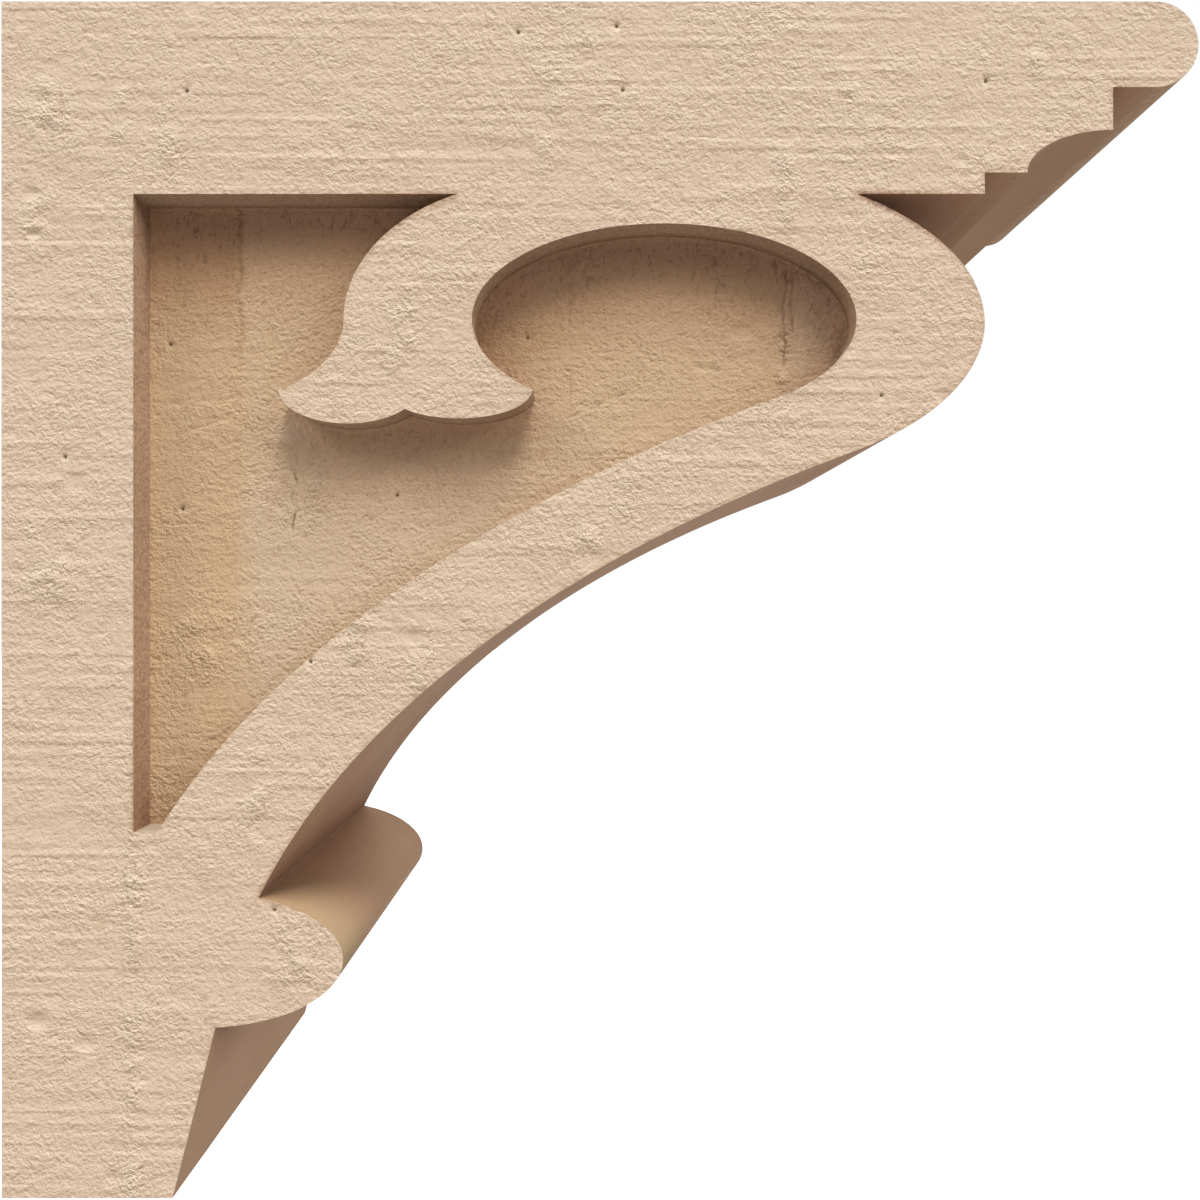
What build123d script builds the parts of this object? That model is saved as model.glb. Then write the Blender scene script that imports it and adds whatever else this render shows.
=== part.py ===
# A porch corbel: one block, 28 inches square and 6 inches thick, moulded in one piece.
# The crown on top carries the beam, an open scroll runs down into a curved brace, and the
# brace lands on a bullnose above the foot. Both faces have a shallow field sunk into them.
#
# Frame: +X leaves the wall, +Z is up, the thickness is centred on Y = 0, and the origin is
# the middle of the wall face. Reach is measured from the wall and drop from the top.

from math import asin, atan2, cos, degrees, hypot, sin
import os

from build123d import *

os.makedirs("parts", exist_ok=True)

INCH = 25.4

# Overall block
height = 28 * INCH
thickness = 6 * INCH
band_drop = 4.5 * INCH  # the crown's flat underside

# Crown, from its outer end inwards: a half-round nose, a square fillet, a cove and a step
nose_reach = 28 * INCH
nose_height = 2 * INCH
fillet_setback = 1 * INCH
fillet_height = 1 * INCH
cove_reach = 2 * INCH
cove_height = 1 * INCH
step_reach = 1 * INCH

# Scroll: its curves, and the brace's, are circles drawn at half height
squash = 0.5
scroll_reach = 15.5 * INCH
scroll_drop = 7.5 * INCH
scroll_radius = 7.5 * INCH

# Brace: a large hollow curve, tangent to the scroll, that ends at this point
brace_radius = 36.6 * INCH
brace_end_reach = 6.0 * INCH
brace_end_drop = 21.0 * INCH

# Bullnose and foot below the brace
bullnose_reach = 4.65 * INCH
bullnose_drop = 22.42 * INCH
bullnose_length = 3.34 * INCH
bullnose_half_height = 1.59 * INCH
foot_top_reach = 5.4 * INCH
foot_end_reach = 4.0 * INCH

# Sunk field on each face
field_depth = 0.5 * INCH
post_reach = 3.08 * INCH
ledge_drop = 19.43 * INCH
eye_drop = 7.44 * INCH
eye_radius = 4.5 * INCH

# The scroll's head, which hangs in the field and ends in two lobes
head_reach = 8.0 * INCH
head_curve_length = 4.5 * INCH
head_curve_height = 3.22 * INCH
lobe_drop = 9.07 * INCH
left_lobe_reach = 8.1 * INCH
left_lobe_length = 1.62 * INCH
left_lobe_height = 0.8 * INCH
right_lobe_reach = 10.7 * INCH
right_lobe_length = 1.72 * INCH
right_lobe_height = 0.68 * INCH


def at(reach, drop):
    """A point of the side view, from its reach off the wall and its drop below the top."""
    return (reach, height / 2 - drop)


# The brace's centre is found as that of a circle, in heights stretched back by the squash.
# It is one brace radius from the brace's end, and one more scroll radius from the scroll's
# centre, so that the two curves touch without a corner.
end_dx = brace_end_reach - scroll_reach
end_dz = -(brace_end_drop - scroll_drop) / squash
end_distance = hypot(end_dx, end_dz)
centre_distance = scroll_radius + brace_radius
along = (end_distance**2 + centre_distance**2 - brace_radius**2) / (2 * end_distance)
swing = atan2(end_dz, end_dx) + atan2((centre_distance**2 - along**2) ** 0.5, along)
brace_reach = scroll_reach + centre_distance * cos(swing)
brace_drop = scroll_drop - centre_distance * sin(swing) * squash

# On the field's side the brace has the same centre and touches the eye of the scroll.
eye_dx = brace_reach - scroll_reach
eye_dz = -(brace_drop - eye_drop) / squash
eye_swing = atan2(eye_dz, eye_dx)
brace_field_radius = hypot(eye_dx, eye_dz) - eye_radius
touch_reach = scroll_reach + eye_radius * cos(eye_swing)
touch_drop = eye_drop - eye_radius * sin(eye_swing) * squash


def ellipse_at(reach, drop, radius, half_height, mode):
    """A whole ellipse added to, or taken from, the sketch that is open."""
    with Locations(at(reach, drop)):
        Ellipse(radius, half_height, mode=mode)


def lobe(reach, length, half_height):
    """One lobe under the scroll's head: the lower half of an ellipse."""
    with BuildLine() as outline:
        rim = EllipticalCenterArc(at(reach, lobe_drop), length, half_height, 180, arc_size=180)
        Line(rim @ 1, rim @ 0)
    make_face(outline.edges(), mode=Mode.SUBTRACT)


# Side view of the whole block, through its full thickness
nose_radius = nose_height / 2
fillet_reach = nose_reach - nose_radius - fillet_setback
fillet_drop = nose_height + fillet_height
cove_drop = fillet_drop + cove_height
step_end_reach = fillet_reach - cove_reach - step_reach
brace_start = degrees(swing)
brace_low = degrees(asin((brace_drop - bullnose_drop) / (brace_radius * squash)))

with BuildSketch(Plane.XZ) as side_view:
    # Crown and the band behind it
    with BuildLine():
        nose = CenterArc(at(nose_reach - nose_radius, nose_radius), nose_radius, 90, -180)
        Polyline(nose @ 1, at(fillet_reach, nose_height), at(fillet_reach, fillet_drop))
        cove = EllipticalCenterArc(
            at(fillet_reach, cove_drop), cove_reach, cove_height, 90, arc_size=90
        )
        Polyline(
            cove @ 1,
            at(step_end_reach, cove_drop),
            at(step_end_reach, band_drop),
            at(0, band_drop),
            at(0, 0),
            nose @ 0,
        )
    make_face()

    # Post, scroll and brace, down to the level of the bullnose
    with BuildLine():
        scroll = EllipticalCenterArc(
            at(scroll_reach, scroll_drop),
            scroll_radius,
            scroll_radius * squash,
            90,
            arc_size=brace_start - 90,
        )
        brace = EllipticalCenterArc(
            at(brace_reach, brace_drop),
            brace_radius,
            brace_radius * squash,
            180 + brace_start,
            arc_size=-brace_start - brace_low,
        )
        Polyline(
            brace @ 1,
            at(0, bullnose_drop),
            at(0, band_drop),
            at(scroll_reach, band_drop),
            scroll @ 0,
        )
    make_face()

    # Foot, with its slanted front, and the bullnose that covers its joint with the brace
    Polygon(
        at(0, bullnose_drop),
        at(foot_top_reach, bullnose_drop),
        at(foot_end_reach, height),
        at(0, height),
        align=None,
    )
    ellipse_at(bullnose_reach, bullnose_drop, bullnose_length, bullnose_half_height, Mode.ADD)

# Outline of the sunk field, which the scroll's head hangs into
neck_middle = (head_reach + scroll_reach - eye_radius) / 2
flare_reach = 2 * neck_middle - scroll_reach
head_top_drop = eye_drop - head_curve_height

with BuildSketch(Plane.XZ.offset(thickness / 2)) as field:
    Polygon(
        at(post_reach, ledge_drop),
        at(post_reach, band_drop),
        at(scroll_reach, band_drop),
        at(scroll_reach, eye_drop),
        at(touch_reach, touch_drop),
        at(touch_reach, ledge_drop),
        align=None,
    )
    ellipse_at(brace_reach, brace_drop, brace_field_radius, brace_field_radius * squash, Mode.SUBTRACT)

    # The head's back, from the band down to the middle of the eye
    with BuildLine():
        back = EllipticalCenterArc(
            at(head_reach + head_curve_length, eye_drop),
            head_curve_length,
            head_curve_height,
            90,
            arc_size=90,
        )
        Polyline(back @ 1, at(scroll_reach, eye_drop), at(scroll_reach, head_top_drop), back @ 0)
    make_face(mode=Mode.SUBTRACT)

    # The flare above the lobes mirrors the eye about the middle of the neck
    with BuildSketch(Plane.XY, mode=Mode.SUBTRACT):
        Polygon(
            at(flare_reach, eye_drop),
            at(scroll_reach, eye_drop),
            at(scroll_reach, lobe_drop),
            at(flare_reach, lobe_drop),
            align=None,
        )
        ellipse_at(flare_reach, eye_drop, eye_radius, eye_radius * squash, Mode.SUBTRACT)
    lobe(left_lobe_reach, left_lobe_length, left_lobe_height)
    lobe(right_lobe_reach, right_lobe_length, right_lobe_height)
    ellipse_at(scroll_reach, eye_drop, eye_radius, eye_radius * squash, Mode.ADD)

# The block, with the same field sunk into both faces
with BuildPart() as corbel_body:
    extrude(side_view.sketch, amount=thickness / 2, both=True)
    with BuildPart(mode=Mode.PRIVATE) as pocket:
        extrude(field.sketch, amount=-field_depth)
    add(pocket.part, mode=Mode.SUBTRACT)
    add(mirror(pocket.part, about=Plane.XZ, mode=Mode.PRIVATE), mode=Mode.SUBTRACT)

corbel_body.part.label = "corbel_body"
export_step(corbel_body.part, "parts/corbel_body.step")
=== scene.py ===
# A porch corbel, moulded in one piece with a rough-sawn surface, seen square on to one face.
# The visible piece is one closed relief mesh: the solid's own outline and sunk fields, from
# the same lengths as the solid, with the sawn surface raised on it in the mesh.

from math import asin, atan2, cos, degrees, hypot, pi, radians, sin

import bpy
import numpy as np
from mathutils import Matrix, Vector
from mathutils.geometry import delaunay_2d_cdt
from mathutils.kdtree import KDTree


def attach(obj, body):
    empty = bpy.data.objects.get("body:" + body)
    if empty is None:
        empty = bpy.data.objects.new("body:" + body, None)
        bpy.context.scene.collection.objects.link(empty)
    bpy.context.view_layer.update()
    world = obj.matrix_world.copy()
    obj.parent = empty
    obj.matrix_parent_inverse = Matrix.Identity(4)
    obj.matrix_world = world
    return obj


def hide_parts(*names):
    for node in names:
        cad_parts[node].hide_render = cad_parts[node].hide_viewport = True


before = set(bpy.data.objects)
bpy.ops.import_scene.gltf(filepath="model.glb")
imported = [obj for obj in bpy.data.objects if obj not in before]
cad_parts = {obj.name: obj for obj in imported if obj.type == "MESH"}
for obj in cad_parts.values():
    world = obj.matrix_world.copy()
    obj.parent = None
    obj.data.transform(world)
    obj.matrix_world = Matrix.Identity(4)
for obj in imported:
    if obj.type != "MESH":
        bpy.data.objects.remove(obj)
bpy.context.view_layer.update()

# Lengths in millimetres. Reach is measured from the wall, drop from the top, and z upwards
# from the middle. The mesh is turned into metres when it is made.
MM = 0.001
INCH = 25.4
HEIGHT = 28 * INCH
THICKNESS = 6 * INCH
BAND_DROP = 4.5 * INCH

NOSE_REACH = 28 * INCH
NOSE_HEIGHT = 2 * INCH
FILLET = 1 * INCH
COVE_REACH = 2 * INCH
COVE_HEIGHT = 1 * INCH
STEP_REACH = 1 * INCH

SQUASH = 0.5
SCROLL_REACH = 15.5 * INCH
SCROLL_DROP = 7.5 * INCH
SCROLL_RADIUS = 7.5 * INCH
BRACE_RADIUS = 36.6 * INCH
BRACE_END_REACH = 6.0 * INCH
BRACE_END_DROP = 21.0 * INCH

BULLNOSE_REACH = 4.65 * INCH
BULLNOSE_DROP = 22.42 * INCH
BULLNOSE_LENGTH = 3.34 * INCH
BULLNOSE_HALF_HEIGHT = 1.59 * INCH
FOOT_TOP_REACH = 5.4 * INCH
FOOT_END_REACH = 4.0 * INCH

FIELD_DEPTH = 0.5 * INCH
POST_REACH = 3.08 * INCH
LEDGE_DROP = 19.43 * INCH
EYE_DROP = 7.44 * INCH
EYE_RADIUS = 4.5 * INCH
HEAD_REACH = 8.0 * INCH
HEAD_CURVE_LENGTH = 4.5 * INCH
HEAD_CURVE_HEIGHT = 3.22 * INCH
LOBE_DROP = 9.07 * INCH
# Each lobe: reach of its middle, half length and height
LEFT_LOBE = (8.1 * INCH, 1.62 * INCH, 0.8 * INCH)
RIGHT_LOBE = (10.7 * INCH, 1.72 * INCH, 0.68 * INCH)

# Mesh density: distance between the points of the side view, and how many rows of quads cross
# the thickness and go down the field's walls
SPACING = 2.85
SIDE_ROWS = 13
WALL_ROWS = 3
ARC_POINTS = 721
# How near a point of the grid may be to any other point, as a share of the spacing
GRID_CLEARANCE = 0.72

# Material slots, in the order of the list of materials at the end
FACE, FIELD_FLOOR, SIDE, FIELD_WALL = range(4)


def arc(reach, drop, length, half_height, start, end):
    """Points of part of an ellipse as (x, z); the angles are in degrees, anticlockwise."""
    t = np.radians(np.linspace(start, end, ARC_POINTS))
    x = reach + length * np.cos(t)
    z = HEIGHT / 2 - drop + half_height * np.sin(t)
    return np.stack([x, z], 1)


def straight_runs(*corners):
    """The straight runs between (reach, drop) corners, each as two (x, z) points."""
    return [np.array([[r, HEIGHT / 2 - d] for r, d in pair]) for pair in zip(corners, corners[1:])]


def crossing(a, b):
    """Where polyline a first crosses polyline b: the point, and the index before it in each."""
    p, r = a[:-1, None], (a[1:] - a[:-1])[:, None]
    q, s = b[None, :-1], (b[1:] - b[:-1])[None]
    turn = r[..., 0] * s[..., 1] - r[..., 1] * s[..., 0]
    turn = np.where(np.abs(turn) < 1e-12, np.nan, turn)
    gap = q - p
    t = (gap[..., 0] * s[..., 1] - gap[..., 1] * s[..., 0]) / turn
    u = (gap[..., 0] * r[..., 1] - gap[..., 1] * r[..., 0]) / turn
    i, j = np.argwhere((t >= 0) & (t <= 1) & (u >= 0) & (u <= 1))[0]
    return a[i] + t[i, j] * (a[i + 1] - a[i]), i, j


def join(a, b):
    """Runs a and b cut back to the point where they cross."""
    point, i, j = crossing(a, b)
    return np.vstack([a[: i + 1], point]), np.vstack([point, b[j + 1 :]])


def brace_geometry():
    """Reach and drop of the centre of the brace's curves, the angles at which they touch the
    scroll and its eye, and the radius on the field's side."""
    end_dx = BRACE_END_REACH - SCROLL_REACH
    end_dz = -(BRACE_END_DROP - SCROLL_DROP) / SQUASH
    far = hypot(end_dx, end_dz)
    apart = SCROLL_RADIUS + BRACE_RADIUS
    along = (far**2 + apart**2 - BRACE_RADIUS**2) / (2 * far)
    swing = atan2(end_dz, end_dx) + atan2((apart**2 - along**2) ** 0.5, along)
    reach = SCROLL_REACH + apart * cos(swing)
    drop = SCROLL_DROP - apart * sin(swing) * SQUASH
    eye_dx, eye_dz = reach - SCROLL_REACH, -(drop - EYE_DROP) / SQUASH
    return reach, drop, swing, atan2(eye_dz, eye_dx), hypot(eye_dx, eye_dz) - EYE_RADIUS


BRACE_REACH, BRACE_DROP, SWING, EYE_SWING, BRACE_FIELD_RADIUS = brace_geometry()


def outer_runs():
    """The outline's smooth runs, clockwise from the top of the wall face. The bullnose is drawn
    past its ends, and cut back where it meets the brace and the foot."""
    nose_radius = NOSE_HEIGHT / 2
    nose_x = NOSE_REACH - nose_radius
    fillet_reach = nose_x - FILLET
    fillet_drop = NOSE_HEIGHT + FILLET
    cove_drop = fillet_drop + COVE_HEIGHT
    step_reach = fillet_reach - COVE_REACH - STEP_REACH
    half = BRACE_RADIUS * SQUASH
    touch = degrees(SWING)
    low = degrees(asin((BRACE_DROP - BULLNOSE_DROP) / half))
    top = straight_runs((0, 0), (nose_x, 0))[0]
    nose = arc(nose_x, nose_radius, nose_radius, nose_radius, 90, -90)
    under_nose = straight_runs(
        (nose_x, NOSE_HEIGHT), (fillet_reach, NOSE_HEIGHT), (fillet_reach, fillet_drop)
    )
    cove = arc(fillet_reach, cove_drop, COVE_REACH, COVE_HEIGHT, 90, 180)
    step = straight_runs(
        (fillet_reach - COVE_REACH, cove_drop),
        (step_reach, cove_drop),
        (step_reach, BAND_DROP),
        (SCROLL_REACH, BAND_DROP),
    )
    scroll = arc(SCROLL_REACH, SCROLL_DROP, SCROLL_RADIUS, SCROLL_RADIUS * SQUASH, 90, touch)
    brace = arc(BRACE_REACH, BRACE_DROP, BRACE_RADIUS, half, 180 + touch, 180 - low)
    bullnose = arc(BULLNOSE_REACH, BULLNOSE_DROP, BULLNOSE_LENGTH, BULLNOSE_HALF_HEIGHT, 120, -120)
    foot = straight_runs((FOOT_TOP_REACH, BULLNOSE_DROP), (FOOT_END_REACH, HEIGHT), (0, HEIGHT), (0, 0))
    step[2], scroll = join(step[2], scroll)
    brace, bullnose = join(brace, bullnose)
    bullnose, foot[0] = join(bullnose, foot[0])
    top_and_nose = np.vstack([top[:1], nose])
    scroll_and_brace = np.vstack([scroll, brace[1:]])
    return [top_and_nose, *under_nose, cove, *step, scroll_and_brace, bullnose, *foot]


def field_runs():
    """The sunk field's outline, clockwise from the top of the post's side. The flare and the eye
    are drawn past their ends, and cut back where they meet the lobes."""
    neck_middle = (HEAD_REACH + SCROLL_REACH - EYE_RADIUS) / 2
    flare_reach = 2 * neck_middle - SCROLL_REACH
    head_middle = HEAD_REACH + HEAD_CURVE_LENGTH
    half_eye = EYE_RADIUS * SQUASH
    half_brace = BRACE_FIELD_RADIUS * SQUASH
    touch = degrees(EYE_SWING)
    low = degrees(asin((BRACE_DROP - LEDGE_DROP) / half_brace))
    band = straight_runs((POST_REACH, BAND_DROP), (SCROLL_REACH, BAND_DROP))[0]
    head = arc(head_middle, EYE_DROP, HEAD_CURVE_LENGTH, HEAD_CURVE_HEIGHT, 90, 180)
    flare = arc(flare_reach, EYE_DROP, EYE_RADIUS, half_eye, 0, -80)
    lobe_line = straight_runs((SCROLL_REACH, LOBE_DROP), (LEFT_LOBE[0] - LEFT_LOBE[1], LOBE_DROP))[0]
    left = arc(LEFT_LOBE[0], LOBE_DROP, *LEFT_LOBE[1:], 180, 360)
    right = arc(RIGHT_LOBE[0], LOBE_DROP, *RIGHT_LOBE[1:], 180, 360)
    eye = arc(SCROLL_REACH, EYE_DROP, EYE_RADIUS, half_eye, 260, touch)
    brace = arc(BRACE_REACH, BRACE_DROP, BRACE_FIELD_RADIUS, half_brace, 180 + touch, 180 - low)
    band, head = join(band, head)
    flare, lobe_line = join(flare, lobe_line)
    left, right = join(left, right)
    right, eye = join(right, eye)
    ledge = np.array([brace[-1], [POST_REACH, brace[-1][1]]])
    post = np.array([ledge[-1], band[0]])
    head_and_flare = np.vstack([head, flare[1:]])
    eye_and_brace = np.vstack([eye, brace[1:]])
    return [band, head_and_flare, lobe_line, left, right, eye_and_brace, ledge, post]


def resample(runs):
    """Even points along closed runs, each run keeping its first point, and which are corners."""
    points, corner = [], []
    for run in runs:
        step = np.linalg.norm(np.diff(run, axis=0), axis=1)
        s = np.concatenate([[0], np.cumsum(step)])
        n = max(2, round(s[-1] / SPACING))
        at = np.linspace(0, s[-1], n + 1)[:-1]
        points.append(np.stack([np.interp(at, s, run[:, k]) for k in (0, 1)], 1))
        corner += [True] + [False] * (n - 1)
    return np.vstack(points), np.array(corner)


def inside(points, loop):
    """Which points lie inside a closed loop."""
    hit = np.zeros(len(points), bool)
    x, z = points[:, 0], points[:, 1]
    for (ax, az), (bx, bz) in zip(loop, np.roll(loop, -1, 0)):
        if az != bz:
            hit ^= ((az > z) != (bz > z)) & (x < (bx - ax) * (z - az) / (bz - az) + ax)
    return hit


def triangular_grid(loop):
    """A grid of equal triangles' corners over the loop's box."""
    (x0, z0), (x1, z1) = loop.min(0), loop.max(0)
    rows = np.arange(z0, z1, SPACING * 3**0.5 / 2)
    cols = np.arange(x0, x1, SPACING)
    x, z = np.meshgrid(cols, rows)
    x = x + (np.arange(len(rows)) % 2 * SPACING / 2)[:, None]
    return np.stack([x.ravel(), z.ravel()], 1)


def spread(grid, loops, extra):
    """The grid's points that keep their distance from the loops' points and from the extra
    ones, and then the extra ones."""
    tree = KDTree(sum(map(len, loops)) + len(extra))
    for k, (x, z) in enumerate(np.vstack([*loops, extra])):
        tree.insert((x, z, 0), k)
    tree.balance()
    far = [tree.find((x, z, 0))[2] > GRID_CLEARANCE * SPACING for x, z in grid]
    return np.vstack([grid[np.array(far)], extra])


def triangulate(loops, interior):
    """Triangles of the region between the first loop and any hole, over the loops' points and
    then the interior ones."""
    points = np.vstack([*loops, interior])
    edges, start = [], 0
    for loop in loops:
        n = len(loop)
        edges += [(start + k, start + (k + 1) % n) for k in range(n)]
        start += n
    made, _, faces, origins, _, _ = delaunay_2d_cdt([Vector(p) for p in points], edges, [], 0, 1e-6)
    if len(made) != len(points):
        raise ValueError("points of the plan fell together")
    source = np.array([origin[0] for origin in origins])
    triangles = source[np.array(faces)]
    middle = points[triangles].mean(1)
    keep = inside(middle, loops[0])
    for hole in loops[1:]:
        keep &= ~inside(middle, hole)
    return triangles[keep]


# Relief, in millimetres. Each face of the corbel has its own seed.
FRONT_SEED, BACK_SEED = 11, 47
FLOOR_SEED_STEP = 30
SIDE_SEED, WALL_SEED = 83, 88

# Layers of noise: how high, and the length of a swell along x and z, or along and across a side
LUMPS = (0.12, 45, 25)
HUMPS = (0.1, 15, 9)
RIDGES = (0.16, 220, 6)
RIDGE_BREAKS = (1, 90, 25)
CRUMBS = (0.06, 7, 5.5)
DRIFT_X = (5, 35, 14)
DRIFT_Z = (1.2, 60, 20)
ROUGHER = (0.6, 60, 40)
TEARS = (1.15, 7.5, 6)
TEAR_BREAKS = (2.2, 22, 16)
SIDE_SWELLS = (0.1, 42, 30)
SIDE_RIPPLES = (0.05, 14, 11)

# How far the rows of humps and crumbs rise for each millimetre of reach
SLANT = 0.12
# A torn place is this much rougher and lies this much lower, and ends over this length
TEAR_ROUGHNESS, TEAR_SINK, TEAR_END = 1.3, 0.25, 15
# Small places where the roughness is filled in: how many, their radii, how much longer they
# are than high, and how far they are filled
PATCHES, PATCH_RADII, PATCH_STRETCH, PATCH_FILL = 26, (2.5, 5), 1.3, 0.7

# Places where the saw tore the face and the field's floor: reach, half width, and the highest
# and lowest z
TORN = [
    (79, 5, -130, -400), (72, 6, 310, 258), (100, 5, 340, 250), (323, 8, 335, 250), (467, 6, 275, 215),
    (523, 6, 300, 240), (368, 9, 75, 30), (350, 7, 50, 5), (617, 6, 340, 300), (240, 7, 190, 140),
    (470, 8, 175, 120), (250, 7, -10, -60), (26, 14, 315, 265), (20, 11, 255, 200), (28, 13, 55, -10),
    (213, 9, 5, -45), (152, 8, -85, -150), (174, 10, -185, -240), (348, 6, 345, 320), (188, 7, 315, 290),
    (505, 5, 320, 290), (235, 7, 160, 128),
]
FLOOR_TORN = [
    (134, 3, 264, 200), (336, 3, 230, 130), (469, 4, 220, 125), (417, 4, 226, 190), (430, 4, 222, 180),
    (297, 4, 218, 185), (485, 6, 205, 160), (108, 14, -5, -60), (180, 5, 85, 40),
]

# Small round pits: reach and drop. Each is held by rings of plan points, each ring a number of
# points and a radius.
FACE_PITS = [
    (307, 18), (110, 53), (37.5, 270.5), (365.4, 14.5), (369, 52.5), (585, 47), (523, 234), (183.5, 392.5),
    (209.5, 364), (162, 540),
]
FLOOR_PITS = [(90.5, 198), (98, 299.5), (230.5, 291), (311, 194)]
PIT_RADIUS, PIT_DEPTH = 1.0, 1.1
PIT_RINGS = ((6, 0.8), (9, 1.9))

# Fine cracks in the field's floor: how deep each usually is, as a share of a pit's depth, and
# its corners in reach and drop
CRACKS = [
    (0.42, [(167, 276), (169, 284), (165, 292), (168, 300), (166, 311)]),
    (0.2, [(165, 292), (158, 296), (150, 295)]),
    (0.22, [(100, 252), (112, 247), (124, 244), (133, 239)]),
    (0.2, [(94, 234), (106, 232), (121, 233), (133, 230)]),
    (0.2, [(168, 300), (178, 303), (189, 301)]),
    (0.42, [(469, 143), (471, 160), (468, 178), (470, 196), (469, 210)]),
    (0.38, [(473, 146), (475, 158), (473, 172), (475, 190)]),
    (0.3, [(449, 142), (451, 150)]),
    (0.3, [(411, 211), (419, 212), (428, 214)]),
    (0.2, [(337, 146), (339, 165), (336, 187), (338, 210), (337, 236)]),
    (0.25, [(427, 149), (429, 160), (426, 170), (428, 180)]),
    (0.25, [(413, 140), (415, 150), (412, 160)]),
    (0.25, [(291, 166), (293, 176), (290, 186)]),
    (0.15, [(385, 204), (400, 203), (415, 206)]),
    (0.34, [(134, 119), (133, 130), (135, 144), (134, 166)]),
    (0.25, [(115, 119), (124, 118), (133, 119)]),
    (0.3, [(353, 236), (362, 231), (373, 228)]),
]
# A crack's radius, and the distance between its points; how far it wanders, and over which
# length; how far from it a row of plan points stands on each side, and how close any two of
# those points may be
CRACK_RADIUS, CRACK_STEP = 0.5**0.5, 1.4
CRACK_DRIFT, CRACK_SWELL = 0.8, 6
CRACK_FLANK, CRACK_APART = 1.3, 0.8


def ramp(value, start, end):
    """0 up to the start, 1 from the end on, and even in between."""
    return np.clip((value - start) / (end - start), 0, 1)


def noise(x, y, seed):
    """Smooth gradient noise with one swell per unit, from about -0.7 to 0.7."""
    ix, iy = np.floor(x), np.floor(y)
    fx, fy = x - ix, y - iy
    ix, iy = ix.astype(np.int64), iy.astype(np.int64)

    def pull(cx, cy, dx, dy):
        """The slope at a corner, whose direction is scattered by four large odd numbers."""
        h = (cx * 374761393 + cy * 668265263 + seed * 974634777) & 0xFFFFFFFF
        h = ((h ^ (h >> 13)) * 1274126177) & 0xFFFFFFFF
        turn = (h ^ (h >> 16)) * (2 * pi / 2**32)
        return np.cos(turn) * dx + np.sin(turn) * dy

    u, v = (t**3 * (t * (t * 6 - 15) + 10) for t in (fx, fy))
    low = pull(ix, iy, fx, fy) * (1 - u) + pull(ix + 1, iy, fx - 1, fy) * u
    high = pull(ix, iy + 1, fx, fy - 1) * (1 - u) + pull(ix + 1, iy + 1, fx - 1, fy - 1) * u
    return low * (1 - v) + high * v


def swells(layer, x, z, seed):
    """Noise as high as the layer says, with swells of its lengths."""
    height, length_x, length_z = layer
    return height * noise(x / length_x, z / length_z, seed)


def patches(x, z, seed):
    """1 in the middle of the small places where the roughness is filled in, and 0 elsewhere."""
    rng = np.random.default_rng(seed)
    found = np.zeros(len(x))
    for _ in range(PATCHES):
        cx, cz = rng.uniform(0, HEIGHT), rng.uniform(-HEIGHT / 2, HEIGHT / 2)
        radius = rng.uniform(*PATCH_RADII)
        away = np.hypot((x - cx) / PATCH_STRETCH, z - cz)
        found = np.maximum(found, 1.6 - 1.2 * away / radius)
    return np.clip(found, 0, 1)


def torn(x, z, places):
    """How badly the saw tore the surface, from 0 to 1."""
    found = np.zeros(len(x))
    for reach, width, high, low in places:
        along = ramp(z, high, high - TEAR_END) * ramp(z, low, low + TEAR_END)
        found = np.maximum(found, along * np.exp(-(((x - reach) / width) ** 2)))
    return found


def pitted(x, z, pits):
    """Depth of the small round pits, from 0 to 1."""
    depth = np.zeros(len(x))
    for reach, drop in pits:
        depth += np.exp(-((x - reach) ** 2 + (z - HEIGHT / 2 + drop) ** 2) / PIT_RADIUS**2)
    return depth


def crack_line(corners):
    """Even points along a crack, which wanders a little, as (x, z)."""
    corners = np.array(corners, float)
    s = np.concatenate([[0], np.cumsum(np.linalg.norm(np.diff(corners, axis=0), axis=1))])
    at = np.linspace(0, s[-1], int(s[-1] / CRACK_STEP))
    drift_x, drift_z = (
        CRACK_DRIFT * noise(at / CRACK_SWELL, np.full(len(at), first), seed)
        for first, seed in zip(corners[0], (61, 62))
    )
    x = np.interp(at, s, corners[:, 0]) + drift_x
    z = HEIGHT / 2 - np.interp(at, s, corners[:, 1]) + drift_z
    return np.stack([x, z], 1)


def cracked(x, z, cracks):
    """Depth of the cracks, as a share of a pit's. It varies along each crack."""
    depth = np.zeros(len(x))
    for usual, corners in cracks:
        points = crack_line(corners)
        varied = 0.95 + 1.4 * noise(*(points.T / CRACK_SWELL), 63)
        for (px, pz), here in zip(points, usual * np.clip(varied, 0.2, 1.4)):
            away = (x - px) ** 2 + (z - pz) ** 2
            depth = np.maximum(depth, here * np.exp(-away / CRACK_RADIUS**2))
    return depth


def crack_points(cracks):
    """Extra plan points that let the mesh hold the cracks: their line, and one row each side."""
    found = []
    for _, corners in cracks:
        middle = crack_line(corners)
        along = np.gradient(middle, axis=0)
        aside = np.stack([-along[:, 1], along[:, 0]], 1) / np.linalg.norm(along, axis=1)[:, None]
        found += [middle, middle + CRACK_FLANK * aside, middle - CRACK_FLANK * aside]
    found = np.vstack(found)
    kept = [found[0]]
    for point in found[1:]:
        if np.linalg.norm(np.array(kept) - point, axis=1).min() > CRACK_APART:
            kept.append(point)
    return np.array(kept)


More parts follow.
